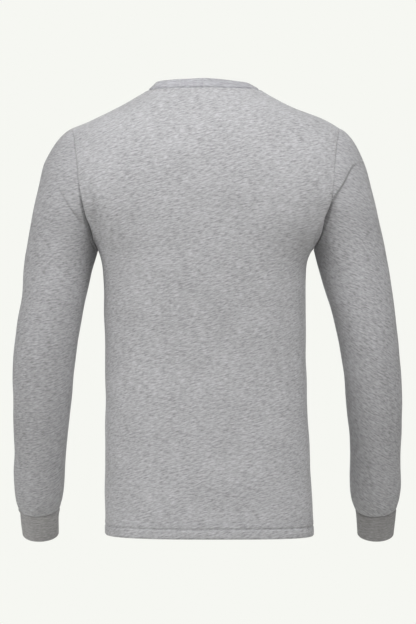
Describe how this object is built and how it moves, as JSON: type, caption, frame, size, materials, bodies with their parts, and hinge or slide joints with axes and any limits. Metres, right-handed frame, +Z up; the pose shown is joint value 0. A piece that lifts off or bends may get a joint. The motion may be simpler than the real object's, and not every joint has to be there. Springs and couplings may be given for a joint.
{
  "type": "long-sleeve t-shirt",
  "caption": "Men's slim crew-neck long-sleeve t-shirt in heather jersey, filled out as worn, with ribbed neckband and cuffs and a turned-up hem.",
  "frame": {"origin": "midway between the two points where the shoulder seams meet the neckband, on the level the shirt hangs from", "axes": "+Z up along the body, +X to the wearer's left, +Y to the wearer's back"},
  "size_m": [0.6267, 0.231, 0.744],
  "materials": {
    "jersey": "heather grey single jersey, matt",
    "cuff_rib": "heather grey rib knit, matt",
    "neck_rib": "heather grey fine rib knit, matt"
  },
  "bodies": {
    "root": {"back": "jersey", "front": "jersey", "sleeve_left_upper": "jersey", "sleeve_left_lower": "jersey", "sleeve_right_upper": "jersey", "sleeve_right_lower": "jersey", "cuff_left": "cuff_rib", "cuff_right": "cuff_rib", "neckband": "neck_rib"}
  },
  "joints": []
}
